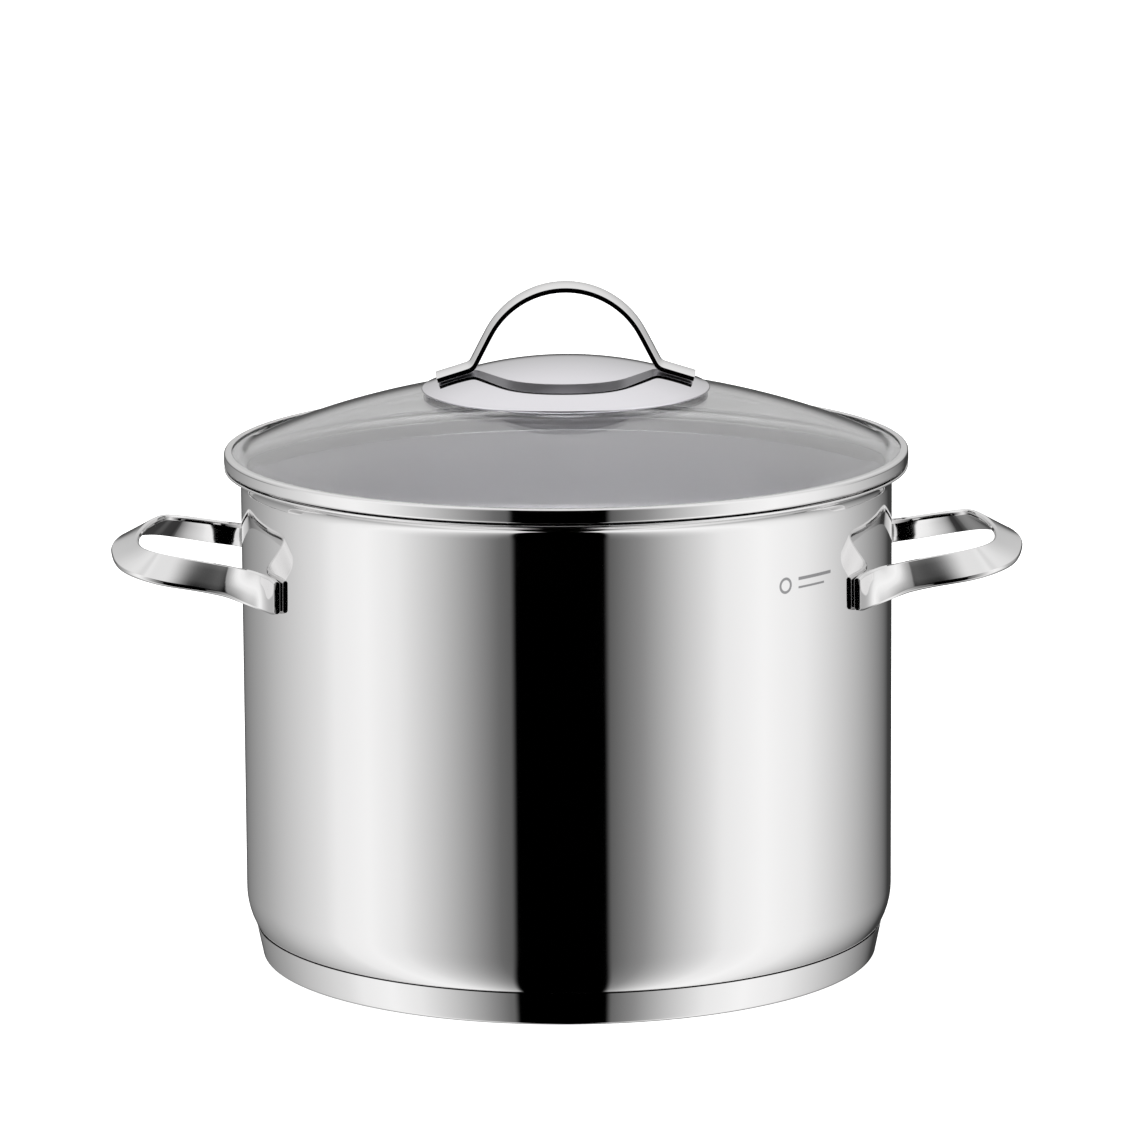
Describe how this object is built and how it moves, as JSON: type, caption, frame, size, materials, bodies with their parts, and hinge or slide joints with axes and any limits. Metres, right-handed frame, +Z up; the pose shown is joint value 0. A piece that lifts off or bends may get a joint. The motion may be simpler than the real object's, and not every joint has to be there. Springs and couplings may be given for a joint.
{
  "type": "stock pot",
  "caption": "Tall straight-sided cooking pot with strip side handles, a thick flat base and a lift-off domed glass lid with a steel rim and an arched grip.",
  "frame": {"origin": "centre of the base's underside", "axes": "+Z up along the pot's axis, the side handles along X, and the front towards -Y"},
  "size_m": [0.3396, 0.2542, 0.2535],
  "materials": {
    "polished_steel": "mirror-polished stainless steel, satin inside the pot",
    "base_steel": "polished stainless side with a turned underside",
    "core_aluminium": "plain rolled aluminium",
    "lid_glass": "clear tempered glass",
    "seal_silicone": "grey silicone",
    "clamp_steel": "plain stainless steel"
  },
  "bodies": {
    "pot": {"pot_body": "polished_steel", "base_cap": "base_steel", "base_core": "core_aluminium", "handle_left": "polished_steel", "handle_right": "polished_steel"},
    "lid": {"lid_glass": "lid_glass", "lid_ring": "polished_steel", "lid_rim_seal": "seal_silicone", "lid_plate": "polished_steel", "lid_handle": "polished_steel", "plate_boss": "clamp_steel", "upper_seal": "seal_silicone", "lower_seal": "seal_silicone", "clamp_dish": "clamp_steel", "clamp_screw": "clamp_steel"}
  },
  "joints": [
    {"name": "lid_lift", "type": "slide", "parent": "pot", "child": "lid", "axis": [0, 0, 1], "range_m": [0, 0.1]}
  ]
}
